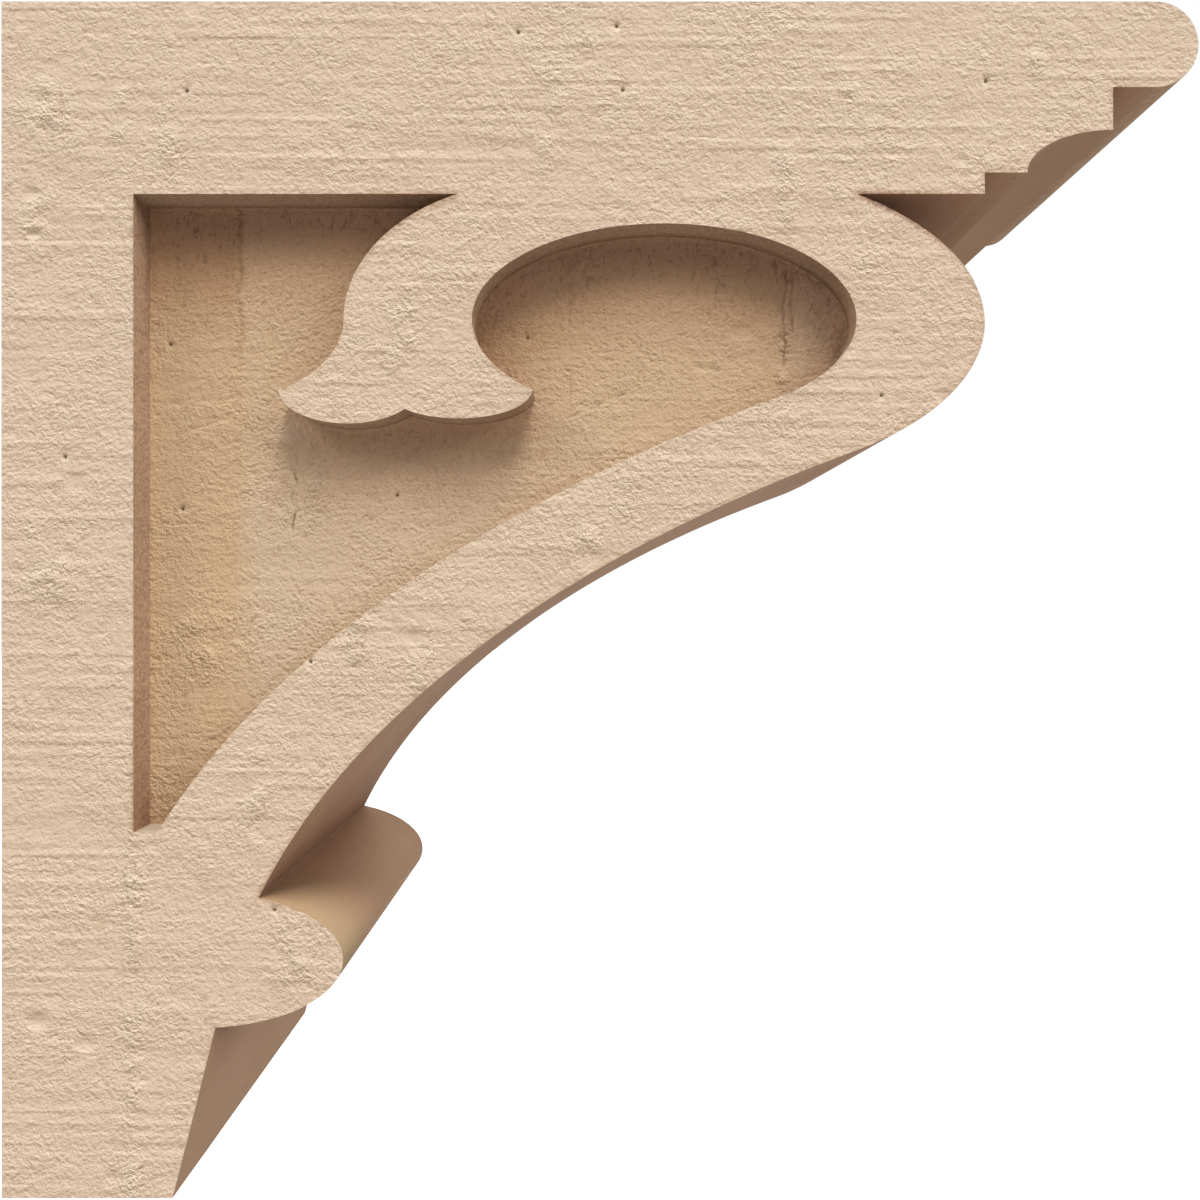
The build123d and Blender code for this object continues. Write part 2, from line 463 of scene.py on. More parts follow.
def pit_points(pits):
    """Extra plan points that let the mesh hold the pits: their middles, and rings around them.
    Each ring is turned by its own radius, so that no two line up."""
    found = []
    for reach, drop in pits:
        found.append((reach, HEIGHT / 2 - drop))
        for count, r in PIT_RINGS:
            for k in range(count):
                t = 2 * pi * k / count + r
                found.append((reach + r * cos(t), HEIGHT / 2 - drop + r * sin(t)))
    return np.array(found)


def sawn(x, z, seed, places):
    """Height of the sawn face, and how rough it is: low lumps, broken ridges along x, and humps
    and crumbs, which are rougher at the torn places."""
    bad = torn(x, z, places) * np.clip(0.6 + swells(TEAR_BREAKS, x, z, seed + 41), 0, 1)
    rough = 1 + swells(ROUGHER, x, z, seed + 40) + TEAR_ROUGHNESS * bad
    wx = x + swells(DRIFT_X, x, z, seed + 1)
    wz = z + swells(DRIFT_Z, x, z, seed + 2) - SLANT * x
    lumps = swells(LUMPS, x, z, seed + 3)
    humps = swells(HUMPS, wx, wz, seed + 4)
    ridges = swells(RIDGES, x, z, seed + 5) * (0.8 + swells(RIDGE_BREAKS, x, z, seed + 7))
    crumbs = swells(CRUMBS, wx, wz, seed + 6)
    height = lumps + ridges + (humps + crumbs) * rough
    height += bad * (swells(TEARS, wx, wz, seed + 8) - TEAR_SINK)
    return height, rough * (1 - PATCH_FILL * patches(x, z, seed))


def moulded(s, y, seed):
    """Height of a plain side: a few low swells."""
    return swells(SIDE_SWELLS, s, y, seed) + swells(SIDE_RIPPLES, s, y, seed + 1)


# Painted shade, from 0 in the open to 1, browns and darkens the primer where the outline stands
# over a point, as a shadow there would. It fades over this distance from what stands over a
# point, and nothing nearer than the least distance counts. It is looked for in these directions,
# in degrees, and points on an outline look from this far off it.
PAINTED_SHADE_REACH, LEAST_DISTANCE = 50, 0.3
FLOOR_RAYS, SIDE_RAYS = range(-75, 76, 15), range(-80, 81, 20)
FLOOR_START, SIDE_START = 1.2, 0.5
# How much painted shade each run of the field's outline casts on the floor: band, head and
# flare, the line above the lobes, both lobes, eye and brace, ledge, post
FIELD_WEIGHTS = (1, 0.9, 0.7, 0.6, 0.68, 1, 1, 0)
# Some runs of the two outlines, counted from 1 in the order of outer_runs and field_runs
TOP_RUN, BRACE_RUN, BULLNOSE_RUN = 1, 8, 9
EYE_RUN = 6
# Shares of the painted shade that count: on the bullnose, on the field's walls, and of the
# walls' in the floor's edge
BULLNOSE_SHARE, WALL_SHARE, EDGE_SHARE = 0.6, 0.7, 0.25
# More painted shade under the brace, and how much less there is at the bullnose's far end and
# on the upright parts of the eye's wall
BRACE_EXTRA, BULLNOSE_FADE, EYE_FADE = 0.19, 0.5, 0.35

# The field's floor changes colour at a seam beside the post. It holds dirt of this strength and
# half width, which starts at the first z and is full from the second.
SEAM_REACH, SEAM_DRIFT = 134, (3, 18, 47)
SEAM_DIRT, SEAM_HALF_WIDTH, SEAM_DIRT_Z = 0.4, 1.5, (120, 170)
# Painted shade fills the upper part of the strip between the post and the seam, under the band:
# its strength, the width of its edge at the seam, its middle and its half height
STRIP_SHADE, STRIP_SHADE_EDGE, STRIP_SHADE_Z, STRIP_SHADE_HALF_HEIGHT = 0.3, 5, 203, 30
# Round marks on the floor: strength, reach and z of the middle, half width and half height.
# The pink one is painted into the shade at the left end of the left lobe, and the dark one is
# painted shade under the band where the head's curve starts
LOBE_SHADE_PINK_MARK = (1, 170, 105, 24, 15)
YELLOW_MARK = (0.9, 318, 156, 32, 24)
CORNER_SHADE_MARK = (0.45, 254, 240, 26, 13)
# The right end of the eye is pinker: how much, and the reach at which that starts and is full
EYE_PINK, EYE_PINK_REACH = 0.9, (455, 480)
# The yellower tone painted where light falls on the bullnose's near end starts at the first y
# and is full from the second
BULLNOSE_TONE_Y = (-36, -66)


def around(points, loop, weight, angles, base=0.0):
    """How closely the loop stands over each point, from 0 to 1, along directions at these
    angles to the base direction, which is clockwise from straight up. The weight says how
    much each of the loop's points counts."""
    loop, weight = loop[::2], weight[::2]
    run = np.roll(loop, -1, 0) - loop
    gap = loop[None] - points[:, None]
    across = gap[..., 0] * run[:, 1] - gap[..., 1] * run[:, 0]
    found, total = np.zeros(len(points)), 0.0
    for angle in np.radians(angles):
        dx = (np.sin(base + angle) * np.ones(len(points)))[:, None]
        dz = (np.cos(base + angle) * np.ones(len(points)))[:, None]
        turn = dx * run[:, 1] - dz * run[:, 0]
        turn = np.where(np.abs(turn) < 1e-9, 1e-9, turn)
        away = across / turn
        part = (gap[..., 0] * dz - gap[..., 1] * dx) / turn
        away = np.where((part >= 0) & (part <= 1) & (away > LEAST_DISTANCE), away, np.inf)
        nearest = away.argmin(1)
        away = away[np.arange(len(points)), nearest]
        found += cos(angle) * weight[nearest] * np.exp(-((away / PAINTED_SHADE_REACH) ** 2))
        total += cos(angle)
    return found / total


def mark(x, z, place):
    """A soft round mark: its strength in the middle, and down to 0 around it."""
    strength, reach, middle, half_width, half_height = place
    return strength * np.exp(-(((x - reach) / half_width) ** 2) - ((z - middle) / half_height) ** 2)


def seam(z):
    """Reach of the seam, which wanders a little."""
    return SEAM_REACH + swells(SEAM_DRIFT, z, z, 5)


def painted_strip_shade(x, z):
    """Painted shade high up in the strip beside the post, under the band."""
    strip = np.clip((seam(z) - x) / STRIP_SHADE_EDGE, 0, 1)
    return STRIP_SHADE * strip * np.exp(-(((z - STRIP_SHADE_Z) / STRIP_SHADE_HALF_HEIGHT) ** 2))


def seam_dirt_and_corner_shade(x, z):
    """Dirt in the upper part of the seam, and painted shade under the band where the head's curve starts.
    """
    in_seam = SEAM_DIRT * np.exp(-(((x - seam(z)) / SEAM_HALF_WIDTH) ** 2)) * ramp(z, *SEAM_DIRT_Z)
    return np.maximum(in_seam, mark(x, z, CORNER_SHADE_MARK))


def primer_tone(x, z):
    """Colour of the primer on the field's floor: 0 is yellower, 1 pinker. It is pinker on the
    right of the seam, weakly above z = 120 and fully below z = 50. The change is 5 mm wide
    above z = 90 and 25 mm wide below z = -30."""
    wide = 5 + np.clip((90 - z) / 6, 0, 20)
    tone = np.clip((x - seam(z) - 2.5) / wide + 0.5, 0, 1) * np.clip((160 - z) / 110, 0.35, 1)
    tone = np.maximum(tone, EYE_PINK * ramp(x, *EYE_PINK_REACH))
    # A pinker tint painted into the shade at the left end of the left lobe
    tone = np.maximum(tone, mark(x, z, LOBE_SHADE_PINK_MARK))
    return tone * (1 - mark(x, z, YELLOW_MARK))


class Ring:
    """A clockwise outline: its points, which are corners, the run that each belongs to, the
    outward normals, and the distance along it of each point."""

    def __init__(self, runs):
        self.points, self.corner = resample(runs)
        self.run = np.cumsum(self.corner)
        ahead = np.roll(self.points, -1, 0) - self.points
        behind = self.points - np.roll(self.points, 1, 0)
        ahead_length = np.linalg.norm(ahead, axis=1)
        along = ahead / ahead_length[:, None] + behind / np.linalg.norm(behind, axis=1)[:, None]
        along /= np.linalg.norm(along, axis=1)[:, None]
        self.normal = np.stack([-along[:, 1], along[:, 0]], 1)
        self.distance = np.concatenate([[0], np.cumsum(ahead_length)[:-1]])

    def __len__(self):
        return len(self.points)

    def swollen(self, y, seed, way=1):
        """The points at this y, moved out by the swells of a plain side, or in when way is -1."""
        swell = moulded(self.distance, np.full(len(self), y), seed)
        return self.points + way * self.normal * swell[:, None]


class Plan:
    """The side view, the same for both faces: the outline, the sunk field's outline, and the
    points and triangles of the rim between them and of the field's floor. The outlines'
    points come first."""

    def __init__(self):
        self.outer, self.field = Ring(outer_runs()), Ring(field_runs())
        outer, field = self.outer.points, self.field.points
        grid = triangular_grid(outer)
        in_field = inside(grid, field)
        in_rim = inside(grid, outer) & ~in_field
        rim_points = spread(grid[in_rim], [outer, field], pit_points(FACE_PITS))
        floor_marks = np.vstack([pit_points(FLOOR_PITS), crack_points(CRACKS)])
        floor_points = spread(grid[in_field], [field], floor_marks)
        self.rim = np.vstack([outer, field, rim_points])
        self.floor = np.vstack([field, floor_points])
        self.rim_triangles = triangulate([outer, field], rim_points)
        self.floor_triangles = triangulate([field], floor_points)


class PaintedShade:
    """Painted shade on the outer side, the field's walls and its floor at each plan point, from how
    closely the outline stands over it.
    """

    def __init__(self, plan):
        outer, field = plan.outer, plan.field
        self.bullnose = outer.run == BULLNOSE_RUN
        outwards = np.arctan2(outer.normal[:, 0], outer.normal[:, 1])
        start = outer.points + SIDE_START * outer.normal
        self.outer = around(start, outer.points, np.ones(len(outer)), SIDE_RAYS, outwards)
        self.outer[self.bullnose] *= BULLNOSE_SHARE
        self.outer[outer.run == BRACE_RUN] += BRACE_EXTRA

        weight = np.array(FIELD_WEIGHTS)[field.run - 1]
        inwards = np.arctan2(-field.normal[:, 0], -field.normal[:, 1])
        start = field.points - SIDE_START * field.normal
        self.walls = WALL_SHARE * around(start, field.points, weight, SIDE_RAYS, inwards)
        eye = field.run == EYE_RUN
        self.walls[eye] *= 1 - EYE_FADE * np.abs(field.normal[eye, 0])

        edge = slice(len(field))
        start = plan.floor.copy()
        start[edge] -= FLOOR_START * field.normal
        self.floor = around(start, field.points, weight, FLOOR_RAYS)
        self.floor[edge] = (1 - EDGE_SHARE) * self.floor[edge] + EDGE_SHARE * self.walls
        self.floor = np.minimum(self.floor + painted_strip_shade(*plan.floor.T), 1)

    def outer_at(self, y):
        """Painted shade of the outer side at this y."""
        return self.outer * (1 - BULLNOSE_FADE * self.bullnose * max(0, y) / (THICKNESS / 2))


class Shell:
    """Collects the vertices, faces, sharp edges and painted values of the closed mesh."""

    # What is painted where nothing else is given
    PLAIN = {"rough": 1, "pit": 0, "shelter": 0, "tone": 0}

    def __init__(self):
        self.points, self.faces, self.slots, self.sharp = [], [], [], []
        self.paint, self.size = {name: [] for name in self.PLAIN}, 0

    def add(self, plan_points, y, **paint):
        """Adds vertices at these (x, z) points and this y, and gives their numbers."""
        n = len(plan_points)
        self.points.append(np.stack([plan_points[:, 0], np.broadcast_to(y, n), plan_points[:, 1]], 1))
        for name, plain in self.PLAIN.items():
            self.paint[name].append(np.broadcast_to(paint.get(name, plain), n))
        self.size += n
        return np.arange(self.size - n, self.size)

    def fill(self, triangles, slot, flip):
        """Adds triangles, turned over when flip is true."""
        self.faces.append(triangles[:, ::-1] if flip else triangles)
        self.slots += [slot] * len(triangles)

    def strips(self, rows, slot, corner, flip):
        """Quads between rings of the same length, with sharp edges at the corners."""
        corners = np.flatnonzero(corner)
        for near, far in zip(rows, rows[1:]):
            a, b, c, d = near, np.roll(near, -1), np.roll(far, -1), far
            self.faces.append(np.stack([a, d, c, b] if flip else [a, b, c, d], 1))
            self.slots += np.broadcast_to(slot, len(near)).tolist()
            self.sharp.append(np.stack([near[corners], far[corners]], 1))

    def crease(self, ring):
        """Makes the edges around a ring sharp."""
        self.sharp.append(np.stack([ring, np.roll(ring, -1)], 1))


# Each function below adds one surface. The side is -1 for the near face and 1 for the far one.
def add_face(shell, plan, shelter, side, seed):
    """The sawn face. Gives its rings at the outline and at the field."""
    n_outer, n_field = len(plan.outer), len(plan.field)
    at_outline, at_field = slice(n_outer), slice(n_outer, n_outer + n_field)
    x, z = plan.rim.T
    pit = pitted(x, z, FACE_PITS)
    height, rough = sawn(x, z, seed, TORN)
    edge_y = side * THICKNESS / 2
    points = plan.rim.copy()
    points[at_outline] = plan.outer.swollen(edge_y, SIDE_SEED)
    shade, tone = np.zeros(len(x)), np.zeros(len(x))
    shade[at_outline], shade[at_field] = shelter.outer_at(edge_y), shelter.walls
    # The near face's edge along the bullnose takes the yellower tone painted where light falls
    tone[at_outline] = shelter.bullnose * (side < 0)
    y = side * (THICKNESS / 2 + height - PIT_DEPTH * pit)
    # The pits are also painted dark, as painted shade in them
    face = shell.add(points, y, rough=rough, pit=pit, shelter=shade, tone=tone)
    shell.fill(face[plan.rim_triangles], FACE, side > 0)
    return face[at_outline], face[at_field]


def add_floor(shell, plan, shelter, side, seed):
    """The sunk field's floor. Gives its outer ring."""
    x, z = plan.floor.T
    pit = np.maximum(pitted(x, z, FLOOR_PITS), cracked(x, z, CRACKS))
    height, rough = sawn(x, z, seed + FLOOR_SEED_STEP, FLOOR_TORN)
    y = side * (THICKNESS / 2 - FIELD_DEPTH + height - PIT_DEPTH * pit)
    # Pits and cracks painted dark as painted shade in them, with the seam's dirt and the painted shade
    # under the band
    dark = np.maximum(pit, seam_dirt_and_corner_shade(x, z))
    tone = primer_tone(x, z)
    floor = shell.add(plan.floor, y, rough=rough, pit=dark, shelter=shelter.floor, tone=tone)
    shell.fill(floor[plan.floor_triangles], FIELD_FLOOR, side > 0)
    return floor[: len(plan.field)]


def add_walls(shell, plan, shelter, side, top_ring, floor_ring):
    """The field's walls, from the face down to the floor."""
    rows = [top_ring]
    for k in range(1, WALL_ROWS):
        y = side * (THICKNESS / 2 - FIELD_DEPTH * k / WALL_ROWS)
        rows.append(shell.add(plan.field.swollen(y, WALL_SEED, -1), y, shelter=shelter.walls))
    rows.append(floor_ring)
    shell.strips(rows, FIELD_WALL, plan.field.corner, side < 0)


def side_rows():
    """Rows across the thickness, closer together near both faces, without the faces' own."""
    t = np.linspace(0, 1, SIDE_ROWS + 1)[1:-1]
    eased = t - 0.1 * np.sin(2 * pi * t)
    return (eased - 0.5) * THICKNESS


def add_sides(shell, plan, shelter, near_ring, far_ring):
    """The outer sides, from the near face to the far one. The top has the walls' primer."""
    rows = [near_ring]
    for y in side_rows():
        tone = shelter.bullnose * ramp(y, *BULLNOSE_TONE_Y)
        points = plan.outer.swollen(y, SIDE_SEED)
        rows.append(shell.add(points, y, shelter=shelter.outer_at(y), tone=tone))
    rows.append(far_ring)
    slots = np.where(plan.outer.run == TOP_RUN, FIELD_WALL, SIDE)
    shell.strips(rows, slots, plan.outer.corner, False)


def corbel_shell():
    """The whole closed mesh: both faces with their sunk fields, and the outer sides."""
    plan, shell, outlines = Plan(), Shell(), []
    shelter = PaintedShade(plan)
    for side, seed in ((-1, FRONT_SEED), (1, BACK_SEED)):
        outline, top_ring = add_face(shell, plan, shelter, side, seed)
        floor_ring = add_floor(shell, plan, shelter, side, seed)
        add_walls(shell, plan, shelter, side, top_ring, floor_ring)
        for ring in (outline, top_ring, floor_ring):
            shell.crease(ring)
        outlines.append(outline)
    add_sides(shell, plan, shelter, *outlines)
    return shell


def make_piece(name, shell, materials):
    """A mesh object in metres from the shell."""
    points = np.vstack(shell.points) * MM
    faces = [f for block in shell.faces for f in block.tolist()]
    mesh = bpy.data.meshes.new(name)
    mesh.from_pydata(points.tolist(), [], faces)
    for material in materials:
        mesh.materials.append(material)
    mesh.polygons.foreach_set("material_index", np.array(shell.slots, np.int32))
    mesh.polygons.foreach_set("use_smooth", np.ones(len(faces), bool))
    for label, parts in shell.paint.items():
        values = np.concatenate(parts).astype(np.float32)
        mesh.attributes.new(label, "FLOAT", "POINT").data.foreach_set("value", values)
    ends = np.empty(len(mesh.edges) * 2, np.int32)
    mesh.edges.foreach_get("vertices", ends)
    ends = np.sort(ends.reshape(-1, 2), 1).astype(np.int64)
    sharp = np.sort(np.vstack(shell.sharp), 1).astype(np.int64)
    total = len(points)
    is_sharp = np.isin(ends[:, 0] * total + ends[:, 1], sharp[:, 0] * total + sharp[:, 1])
    mesh.attributes.new("sharp_edge", "BOOLEAN", "EDGE").data.foreach_set("value", is_sharp)
    mesh.update()
    piece = bpy.data.objects.new(name, mesh)
    bpy.context.scene.collection.objects.link(piece)
    return piece


# Primer on the sawn surfaces: the lower and the upper side of each crumb, painted darker and
# paler as light from above would make them, and the hollows, browned as painted shade
FACE_PRIMER = ((0.685, 0.488, 0.322), (0.695, 0.556, 0.427), (0.58, 0.405, 0.26))
FLOOR_PRIMER = ((0.59, 0.38, 0.205), (0.615, 0.442, 0.268), (0.51, 0.325, 0.175))
# Primer on the plain ones, painted browner and darker than on the faces as painted shade: its two
# shades; where it faces up, painted darker and greyer to offset the light from above; and on the
# bullnose's near end, painted yellower where light falls
SIDE_PRIMER = ((0.347, 0.215, 0.133), (0.307, 0.184, 0.11))
WALL_PRIMER = ((0.4, 0.26, 0.163), (0.355, 0.227, 0.141))
UPWARD_PRIMER = (0.31, 0.244, 0.182)
BULLNOSE_LIT_PRIMER = (0.295, 0.203, 0.116)
# The darkest colour: painted shade in the pits and cracks and under the band, and dirt in the seam
DIRT_AND_SHADE = (0.1, 0.045, 0.02)

# Tints, which multiply a colour: the floor's pinker tone, also painted into the shade at the
# left lobe, painted shade in creases, full painted shade, and the tint that slight painted shade
# starts from
PINK_TINT = (1.06, 1.13, 1.32)
CREASE_TINT = (0.5, 0.4, 0.33)
PAINTED_SHADE_TINT = (0.54, 0.43, 0.43)
SLIGHT_PAINTED_SHADE_TINT = (0.56, 0.28, 0.1)

# Depth of the bumps that are finer than the mesh, in metres
SAWN_BUMP, SIDE_BUMP, WALL_BUMP = 0.00097, 0.00025, 0.0008

# Cells of the noise in the primer, in millimetres along X, Y and Z
FINE_CELL = (2.6, 3.2, 2.4)
FINE_AREA_CELL = (45, 45, 30)
CRUMB_CELL = (7, 8, 6.5)
SAW_CELL = (240, 240, 5.8)
SAW_BREAK_CELL = (90, 90, 14)
STROKE_CELL = (3, 3.5, 6)
GRAIN_CELL = (4, 4, 4)
SWELL_CELL = (33, 33, 33)
CLOUD_CELL = (80, 80, 80)
BLOTCH_CELL = (2, 1.6, 2.6)
SPECK_CELL = (18, 18, 18)


def node(tree, kind, **values):
    """A shader node with its settings and input values; an input's name has _ for each space."""
    made = tree.nodes.new(kind)
    for key, value in values.items():
        if hasattr(made, key):
            setattr(made, key, value)
        else:
            made.inputs[key.replace("_", " ")].default_value = value
    return made


def link(tree, value, socket):
    """Gives the socket a number, or what another socket puts out."""
    if isinstance(value, (int, float)):
        socket.default_value = value
    else:
        tree.links.new(value, socket)


def coordinates(tree, cell, slant=0):
    """Object coordinates in cells of these lengths, which rise along X by the slant in degrees."""
    place = node(tree, "ShaderNodeTexCoord")
    metres = tuple(MM * c for c in cell)
    turned = (0, -radians(slant), 0)
    mapping = node(tree, "ShaderNodeMapping", vector_type="TEXTURE", Rotation=turned, Scale=metres)
    tree.links.new(place.outputs["Object"], mapping.inputs["Vector"])
    return mapping.outputs["Vector"]


def noise_texture(tree, cell, detail, roughness, slant=0, distortion=0.0):
    """Noise in these cells, with this much finer detail in them."""
    made = node(
        tree, "ShaderNodeTexNoise", Scale=1.0, Detail=detail, Roughness=roughness, Distortion=distortion
    )
    tree.links.new(coordinates(tree, cell, slant), made.inputs["Vector"])
    return made.outputs["Fac"]


def math_node(tree, operation, a, b):
    """A sum, product or maximum of two values, each a number or a socket."""
    made = node(tree, "ShaderNodeMath", operation=operation)
    link(tree, a, made.inputs[0])
    link(tree, b, made.inputs[1])
    return made.outputs["Value"]


def ranged(tree, value, given, wanted):
    """The value moved from the given range to the wanted one, and held within it."""
    (low, high), (to_low, to_high) = given, wanted
    made = node(tree, "ShaderNodeMapRange", From_Min=low, From_Max=high, To_Min=to_low, To_Max=to_high)
    tree.links.new(value, made.inputs["Value"])
    return made.outputs["Result"]


def mixed_number(tree, factor, a, b):
    """Two values mixed. The mix node has its numbers in inputs 2 and 3, and output 0."""
    made = node(tree, "ShaderNodeMix", data_type="FLOAT")
    tree.links.new(factor, made.inputs["Factor"])
    tree.links.new(a, made.inputs[2])
    tree.links.new(b, made.inputs[3])
    return made.outputs[0]


def mixed(tree, factor, a, b, blend="MIX"):
    """Two colours mixed; each may be a colour or a socket. The mix node has its colours in
    inputs 6 and 7, and output 2."""
    made = node(tree, "ShaderNodeMix", data_type="RGBA", blend_type=blend)
    link(tree, factor, made.inputs["Factor"])
    for socket, colour in zip((made.inputs[6], made.inputs[7]), (a, b)):
        if isinstance(colour, tuple):
            socket.default_value = (*colour, 1)
        else:
            tree.links.new(colour, socket)
    return made.outputs[2]


def tinted(tree, colour, tint):
    return mixed(tree, 1.0, colour, tint, "MULTIPLY")


def darker(colour, share):
    return tuple(share * c for c in colour)


def attribute(tree, name):
    return node(tree, "ShaderNodeAttribute", attribute_name=name).outputs["Fac"]


def with_painted_shade(tree, colour):
    """The colour under painted shade, which browns and darkens the primer where the outline stands over
    it.
    """
    shelter = attribute(tree, "shelter")
    tint = mixed(tree, shelter, SLIGHT_PAINTED_SHADE_TINT, PAINTED_SHADE_TINT)
    return mixed(tree, shelter, colour, tinted(tree, colour, tint))


def new_material(name, specular):
    material = bpy.data.materials.new(name)
    material.use_nodes = True
    tree = material.node_tree
    tree.nodes.clear()
    shader = node(tree, "ShaderNodeBsdfPrincipled", Specular_IOR_Level=specular)
    out = node(tree, "ShaderNodeOutputMaterial")
    tree.links.new(shader.outputs["BSDF"], out.inputs["Surface"])
    return material, tree, shader


def bumped(tree, shader, height, depth):
    """Bumps the shader, and gives how far the bumped surface faces up."""
    bump = node(tree, "ShaderNodeBump", Strength=1.0, Distance=depth)
    tree.links.new(height, bump.inputs["Height"])
    tree.links.new(bump.outputs["Normal"], shader.inputs["Normal"])
    split = node(tree, "ShaderNodeSeparateXYZ")
    tree.links.new(bump.outputs["Normal"], split.inputs[0])
    return split.outputs["Z"]


def sawn_material(name, primer, lines, creases, pink=None):
    """Matt primer over a rough-sawn surface. It is painted paler on the upper side of each crumb
    and darker on the lower one, as light from above would make it, and painted shade browns the
    hollows, the creases and the shaded corners. Lines is the height of the saw's lines, and creases
    how dark the painted shade in the gaps between the finest crumbs is."""
    material, tree, shader = new_material(name, specular=0.2)
    lower, upper, hollow = primer

    # Height: crumbs, finer ones that rise along X in some areas and lie level in others, and
    # the saw's lines, which are broken up
    steep = noise_texture(tree, FINE_CELL, 2, 0.6, slant=26, distortion=0.2)
    level = noise_texture(tree, FINE_CELL, 2, 0.6, slant=2, distortion=0.2)
    area = ranged(tree, noise_texture(tree, FINE_AREA_CELL, 1, 0.5), (0.42, 0.58), (0, 1))
    fine = mixed_number(tree, area, steep, level)
    crumbs = noise_texture(tree, CRUMB_CELL, 3, 0.62, slant=14, distortion=0.3)
    saw = ranged(tree, noise_texture(tree, SAW_CELL, 0.8, 0.5), (0.44, 0.74), (0, lines))
    broken = ranged(tree, noise_texture(tree, SAW_BREAK_CELL, 2, 0.5), (0.35, 0.65), (0, 1))
    saw = math_node(tree, "MULTIPLY", saw, broken)
    rough = attribute(tree, "rough")
    height = math_node(tree, "ADD", crumbs, math_node(tree, "MULTIPLY", fine, 0.85))
    height = math_node(tree, "ADD", math_node(tree, "MULTIPLY", height, rough), saw)
    upward = bumped(tree, shader, height, SAWN_BUMP)

    # Colour: painted paler where the surface faces up and darker where it faces down, as light from
    # above would make it, then its tone, painted shade in the hollows and the creases, and dark
    # strokes of painted shade down the shaded places
    colour = mixed(tree, ranged(tree, upward, (-0.3, 0.3), (0, 1)), lower, upper)
    if pink:
        colour = mixed(tree, attribute(tree, "tone"), colour, tinted(tree, colour, pink))
    colour = mixed(tree, ranged(tree, crumbs, (0.3, 0.45), (0.35, 0)), colour, hollow)
    crease = math_node(tree, "MULTIPLY", ranged(tree, fine, (0.3, 0.45), (creases, 0)), rough)
    strokes = noise_texture(tree, STROKE_CELL, 2, 0.6, distortion=1.0)
    strokes = ranged(tree, strokes, (0.33, 0.45), (0.7, 0))
    strokes = math_node(tree, "MULTIPLY", strokes, attribute(tree, "shelter"))
    crease = math_node(tree, "MAXIMUM", crease, strokes)
    colour = mixed(tree, crease, colour, tinted(tree, colour, CREASE_TINT))
    colour = with_painted_shade(tree, colour)
    # Pits, cracks and the corner under the band darkened as painted shade, and the seam as dirt
    pit = ranged(tree, attribute(tree, "pit"), (0.1, 0.8), (0, 0.85))
    colour = mixed(tree, pit, colour, DIRT_AND_SHADE)
    tree.links.new(colour, shader.inputs["Base Color"])
    tree.links.new(ranged(tree, crumbs, (0.3, 0.7), (0.95, 0.8)), shader.inputs["Roughness"])
    return material


def side_material(name, primer, depth, mottle, upward_primer=None):
    """The same primer on the plain moulded surfaces, painted browner and darker than on the faces
    as painted shade: clouded, mottled with small darker blotches, and with fine dark specks.
    Where it has an upward primer, it turns to that where it faces up, painted darker and greyer
    there to offset the light from above."""
    material, tree, shader = new_material(name, specular=0.15)
    base, dark = primer
    grain = noise_texture(tree, GRAIN_CELL, 4, 0.6)
    swell = noise_texture(tree, SWELL_CELL, 3, 0.5)
    cloud = noise_texture(tree, CLOUD_CELL, 4, 0.55)
    height = math_node(tree, "ADD", grain, math_node(tree, "MULTIPLY", swell, 2.0))
    upward = bumped(tree, shader, height, depth)

    colour = mixed(tree, ranged(tree, cloud, (0.35, 0.65), (0, 1)), base, dark)
    # A yellower primer painted where light falls on the bullnose's near end
    colour = mixed(tree, attribute(tree, "tone"), colour, BULLNOSE_LIT_PRIMER)
    blotch = noise_texture(tree, BLOTCH_CELL, 3, 0.65, distortion=0.5)
    blotch = ranged(tree, blotch, (0.38, 0.6), (mottle, 0))
    colour = mixed(tree, blotch, colour, darker(dark, 0.6))
    # Painted darker and greyer where it faces up, to offset the light from above
    if upward_primer:
        colour = mixed(tree, ranged(tree, upward, (0.2, 0.9), (0, 1)), colour, upward_primer)
    specks = node(tree, "ShaderNodeTexVoronoi", Scale=1.0)
    tree.links.new(coordinates(tree, SPECK_CELL), specks.inputs["Vector"])
    speck = ranged(tree, specks.outputs["Distance"], (0.03, 0.07), (0.5, 0))
    colour = mixed(tree, speck, colour, darker(dark, 0.4))
    colour = with_painted_shade(tree, colour)
    tree.links.new(colour, shader.inputs["Base Color"])
    tree.links.new(ranged(tree, grain, (0.3, 0.7), (0.9, 0.75)), shader.inputs["Roughness"])
    return material


# Studio: the floor's size and place in metres, and the camera's distance from the near face,
# its sensor and its lens in millimetres
WHITE = (1, 1, 1, 1)
FLOOR_HALF_SIZE, FLOOR_BELOW = 12.0, 1.1
FLOOR_PAINT, FLOOR_GLOW = (0.32, 0.32, 0.32, 1), 0.9
WORLD_STRENGTH = 0.02
CAMERA_DISTANCE = 338.4
SENSOR_WIDTH, LENS = 36, 17.087


def sun(name, strength, forward, aside, width):
    """A soft sun lamp, this many degrees wide. It stands this many degrees in front of the
    faces' plane, or behind it where that is negative, and this many to the right of straight
    up."""
    data = bpy.data.lights.new(name, "SUN")
    data.energy = strength
    data.angle = radians(width)
    lamp = bpy.data.objects.new(name, data)
    high = cos(radians(forward))
    towards = Vector((sin(radians(aside)) * high, -sin(radians(forward)), cos(radians(aside)) * high))
    lamp.rotation_euler = towards.to_track_quat("Z", "Y").to_euler()
    bpy.context.scene.collection.objects.link(lamp)


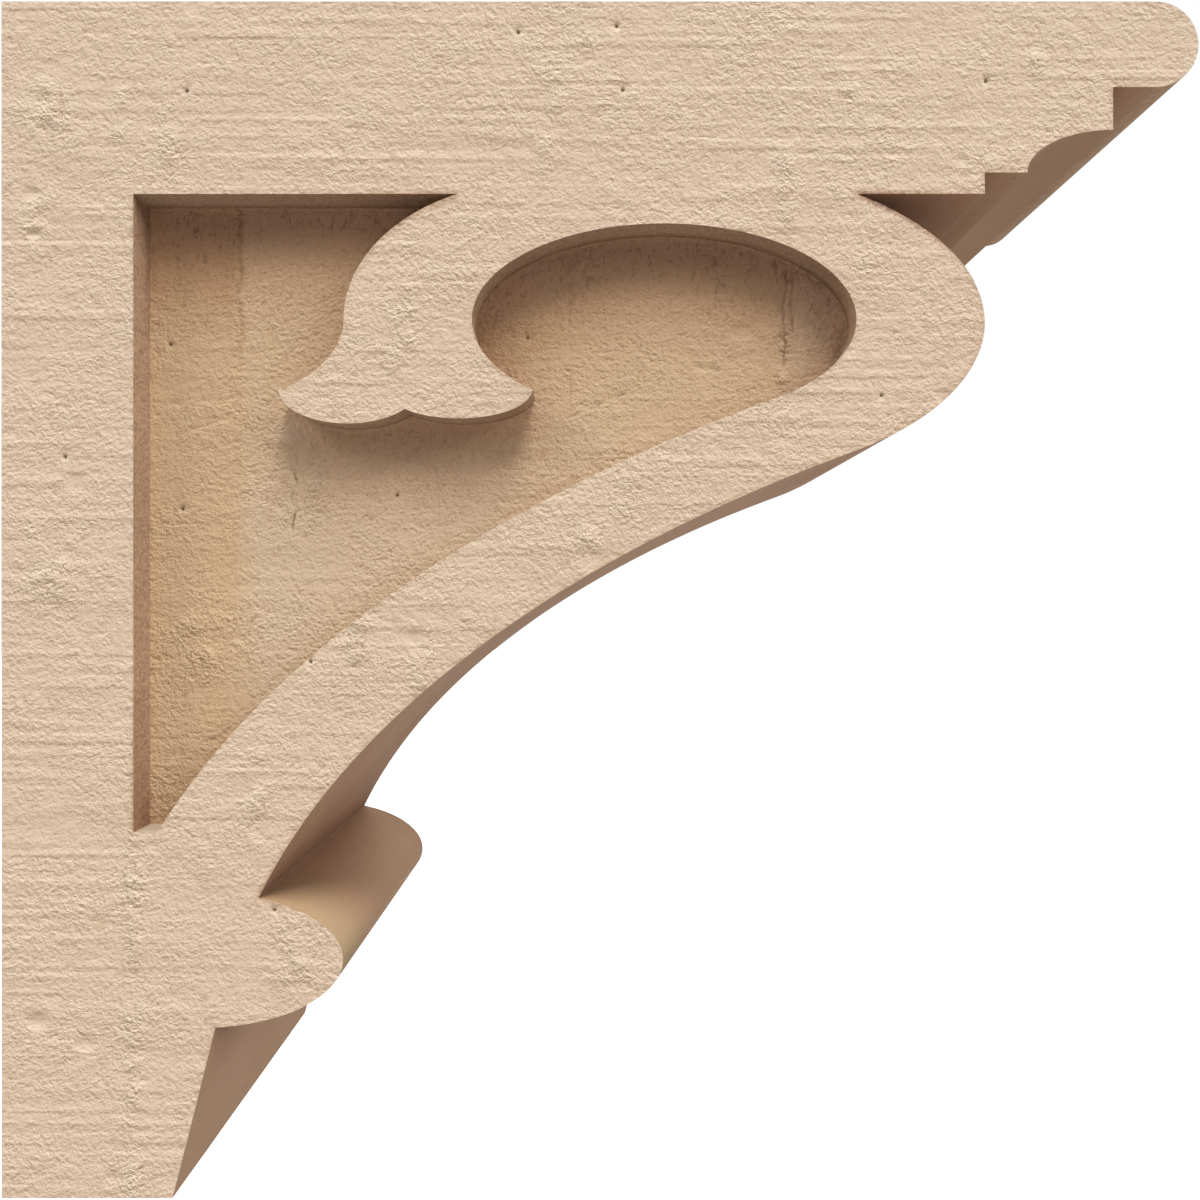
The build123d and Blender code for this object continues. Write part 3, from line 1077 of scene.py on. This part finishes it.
def seen_and_lit(tree, seen, lit, output):
    """Shows one shader to the camera, to gloss and through glass, and the other to all else."""
    path = node(tree, "ShaderNodeLightPath")
    direct = math_node(tree, "MAXIMUM", path.outputs["Is Camera Ray"], path.outputs["Is Glossy Ray"])
    direct = math_node(tree, "MAXIMUM", direct, path.outputs["Is Transmission Ray"])
    mix = node(tree, "ShaderNodeMixShader")
    tree.links.new(direct, mix.inputs[0])
    tree.links.new(lit, mix.inputs[1])
    tree.links.new(seen, mix.inputs[2])
    tree.links.new(mix.outputs[0], output.inputs["Surface"])


def studio_world():
    """White behind the corbel, and only a little light from all around."""
    world = bpy.data.worlds.new("studio")
    bpy.context.scene.world = world
    world.use_nodes = True
    tree = world.node_tree
    tree.nodes.clear()
    out = node(tree, "ShaderNodeOutputWorld")
    soft = node(tree, "ShaderNodeBackground", Strength=WORLD_STRENGTH, Color=WHITE)
    white = node(tree, "ShaderNodeBackground", Strength=1.0, Color=WHITE)
    seen_and_lit(tree, white.outputs[0], soft.outputs[0], out)


def studio_floor():
    """A wide pale floor well below the corbel, which is fixed to a wall and doesn't stand on it."""
    size, z = FLOOR_HALF_SIZE, -FLOOR_BELOW
    mesh = bpy.data.meshes.new("floor")
    corners = [(-size, -size, z), (size, -size, z), (size, size, z), (-size, size, z)]
    mesh.from_pydata(corners, [], [(0, 1, 2, 3)])
    floor = bpy.data.objects.new("floor", mesh)
    bpy.context.scene.collection.objects.link(floor)
    material = bpy.data.materials.new("pale_floor")
    material.use_nodes = True
    tree = material.node_tree
    tree.nodes.clear()
    out = node(tree, "ShaderNodeOutputMaterial")
    paint = node(tree, "ShaderNodeBsdfDiffuse", Color=FLOOR_PAINT)
    glow = node(tree, "ShaderNodeEmission", Strength=FLOOR_GLOW)
    both = node(tree, "ShaderNodeAddShader")
    tree.links.new(paint.outputs[0], both.inputs[0])
    tree.links.new(glow.outputs[0], both.inputs[1])
    seen_and_lit(tree, both.outputs[0], paint.outputs[0], out)
    mesh.materials.append(material)


def camera():
    """Square on to the near face and level with the middle of it."""
    data = bpy.data.cameras.new("camera")
    data.sensor_width = SENSOR_WIDTH
    data.lens = LENS
    data.clip_start, data.clip_end = 0.01, 100
    made = bpy.data.objects.new("camera", data)
    made.location = (MM * HEIGHT / 2, -MM * (THICKNESS / 2 + CAMERA_DISTANCE), 0)
    made.rotation_euler = (radians(90), 0, 0)
    bpy.context.scene.collection.objects.link(made)
    bpy.context.scene.camera = made


camera()
studio_world()
studio_floor()
sun("key_middle", strength=4.7, forward=14, aside=12, width=24)
sun("key_left", strength=1.9, forward=14, aside=-50, width=24)
sun("key_right", strength=1.5, forward=14, aside=60, width=24)
sun("back", strength=2.2, forward=-45, aside=0, width=50)
bpy.context.scene.view_settings.view_transform = "Standard"

materials = [
    sawn_material("sawn_primer", FACE_PRIMER, lines=0.38, creases=0.25),
    sawn_material("field_primer", FLOOR_PRIMER, lines=0.24, creases=0.4, pink=PINK_TINT),
    side_material("side_primer", SIDE_PRIMER, SIDE_BUMP, mottle=0.12),
    side_material("wall_primer", WALL_PRIMER, WALL_BUMP, mottle=0.65, upward_primer=UPWARD_PRIMER),
]
corbel = make_piece("corbel_moulding", corbel_shell(), materials)
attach(corbel, "root")
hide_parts("corbel_body")
